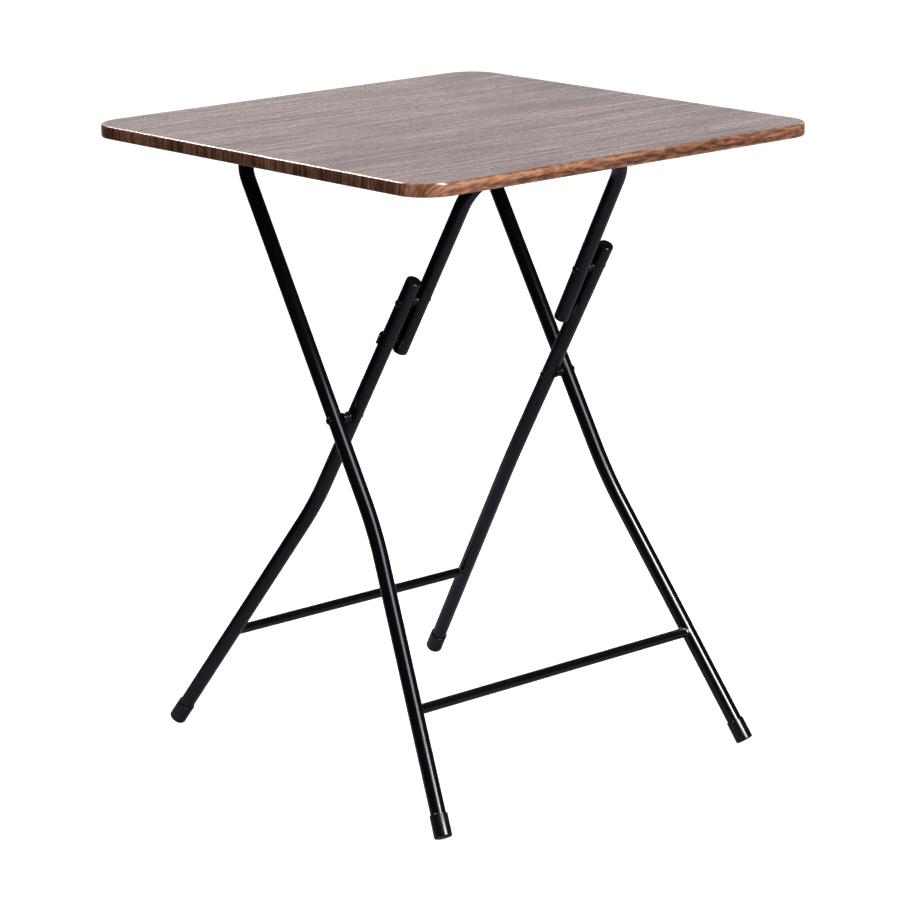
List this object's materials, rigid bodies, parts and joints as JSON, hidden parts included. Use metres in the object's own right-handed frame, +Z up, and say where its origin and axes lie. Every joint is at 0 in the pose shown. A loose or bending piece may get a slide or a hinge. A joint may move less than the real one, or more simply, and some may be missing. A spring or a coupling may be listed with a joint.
{
  "type": "folding table",
  "caption": "Square folding table with a wood-look top on black bent tube legs that cross in a scissor and lock open with a folding knee strut.",
  "frame": {"origin": "on the floor under the middle of the tabletop, with the table open", "axes": "+Z up, +X along the crossbars, -Y towards the feet of the outer legs, which is also the side that the legs fold out to"},
  "size_m": [0.6, 0.6, 0.752],
  "materials": {
    "wood_laminate": "grey-brown wood-grain laminate, satin",
    "wood_edging": "wood-print edging, rounded, satin",
    "black_paint": "glossy black powder coat on steel",
    "black_rubber": "black rubber, satin",
    "black_plastic": "black moulded plastic",
    "black_rivet": "black coated steel rivet",
    "black_screw": "black oxide steel screw"
  },
  "bodies": {
    "tabletop": {"outer_hinge_saddle_left": "black_paint", "outer_hinge_saddle_right": "black_paint", "outer_hinge_screw_left_front": "black_screw", "outer_hinge_screw_left_rear": "black_screw", "outer_hinge_screw_right_front": "black_screw", "outer_hinge_screw_right_rear": "black_screw", "strut_hinge_saddle_left": "black_paint", "strut_hinge_saddle_right": "black_paint", "strut_hinge_screw_left_front": "black_screw", "strut_hinge_screw_left_rear": "black_screw", "strut_hinge_screw_right_front": "black_screw", "strut_hinge_screw_right_rear": "black_screw", "tabletop_board": "wood_laminate", "tabletop_edge_band": "wood_edging"},
    "outer_legs": {"outer_crossbar": "black_paint", "outer_foot_cap_left": "black_rubber", "outer_foot_cap_right": "black_rubber", "outer_leg_frame": "black_paint", "scissor_rivet_head_left": "black_rivet", "scissor_rivet_head_right": "black_rivet"},
    "strut": {"clip_rivet_left": "black_rivet", "clip_rivet_right": "black_rivet", "knee_collar_left": "black_plastic", "knee_collar_right": "black_plastic", "knee_rivet_left": "black_rivet", "knee_rivet_right": "black_rivet", "locking_clip_left": "black_paint", "locking_clip_right": "black_paint", "strut_frame": "black_paint", "strut_plug_left": "black_plastic", "strut_plug_right": "black_plastic"},
    "inner_legs": {"inner_crossbar": "black_paint", "inner_foot_cap_left": "black_rubber", "inner_foot_cap_right": "black_rubber", "inner_leg_left": "black_paint", "inner_leg_plug_left": "black_plastic", "inner_leg_plug_right": "black_plastic", "inner_leg_right": "black_paint", "scissor_collar_left": "black_plastic", "scissor_collar_right": "black_plastic", "scissor_rivet_tail_left": "black_rivet", "scissor_rivet_tail_right": "black_rivet"}
  },
  "joints": [
    {"name": "outer_legs_fold", "type": "hinge", "parent": "tabletop", "child": "outer_legs", "pos_m": [0, 0.175, 0.727], "axis": [-1, 0, 0], "range_deg": [0, 56.9]},
    {"name": "strut_fold", "type": "hinge", "parent": "tabletop", "child": "strut", "pos_m": [0, -0.175, 0.727], "axis": [1, 0, 0], "range_deg": [0, 58.9]},
    {"name": "knee_fold", "type": "hinge", "parent": "strut", "child": "inner_legs", "pos_m": [0, -0.08796, 0.57487], "axis": [-1, 0, 0], "range_deg": [0, 176]}
  ],
  "couplings": [
    {"joint": "strut_fold", "follows": "outer_legs_fold", "ratio": 1.0338},
    {"joint": "knee_fold", "follows": "outer_legs_fold", "ratio": 3.091}
  ]
}
